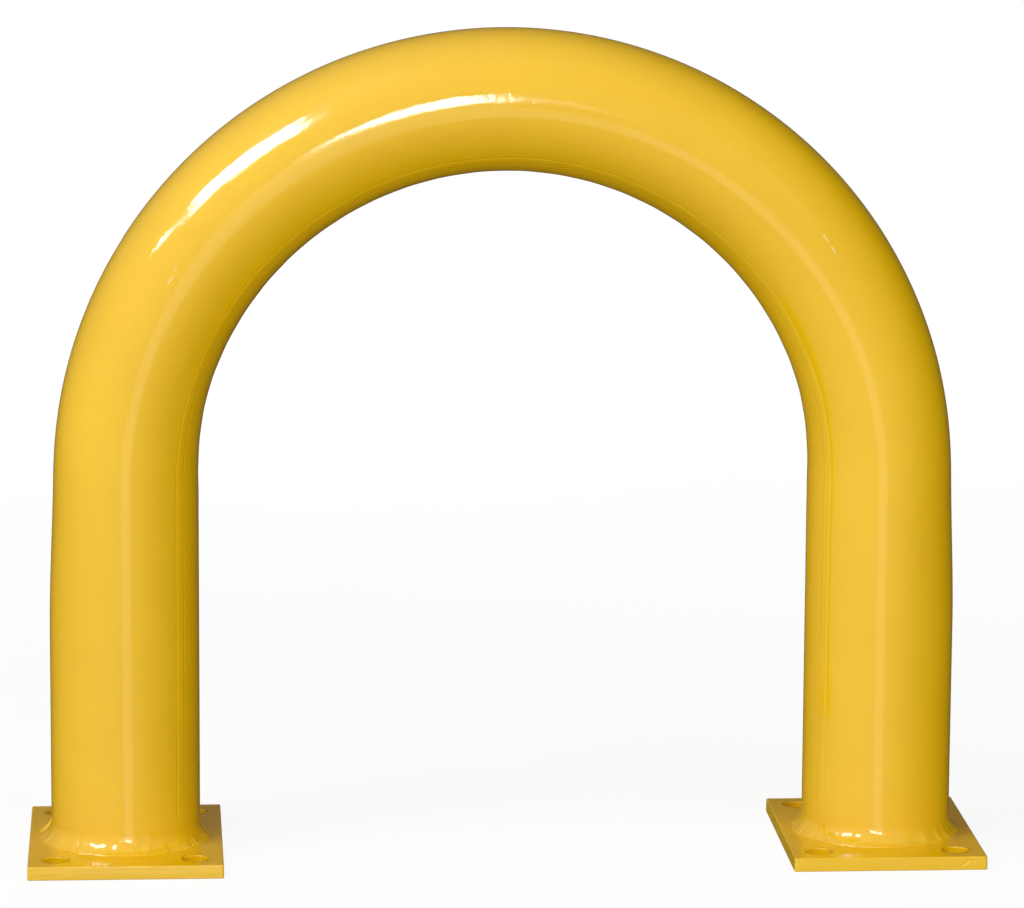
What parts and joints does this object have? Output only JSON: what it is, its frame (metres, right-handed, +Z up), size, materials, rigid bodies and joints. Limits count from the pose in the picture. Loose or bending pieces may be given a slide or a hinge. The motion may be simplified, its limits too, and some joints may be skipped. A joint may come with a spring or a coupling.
{
  "type": "hoop safety bollard",
  "caption": "Upside-down U of large steel tube welded to drilled base plates, coated glossy yellow, that guards kerbs, machines and racking from vehicles.",
  "frame": {"origin": "on the ground, midway between the two legs, at the middle of the plates' depth", "axes": "+X along the line of the hoop towards the right leg, +Y through the hoop away from the viewer, +Z up"},
  "size_m": [0.69, 0.18, 0.6],
  "materials": {
    "tube_coat": "glossy yellow powder coat over steel tube, light orange peel",
    "plate_coat": "glossy yellow powder coat over hot-rolled steel plate",
    "weld_coat": "glossy yellow powder coat over a rippled fillet weld"
  },
  "bodies": {
    "root": {"hoop_tube": "tube_coat", "left_base_plate": "plate_coat", "right_base_plate": "plate_coat", "left_base_weld": "weld_coat", "right_base_weld": "weld_coat"}
  },
  "joints": []
}
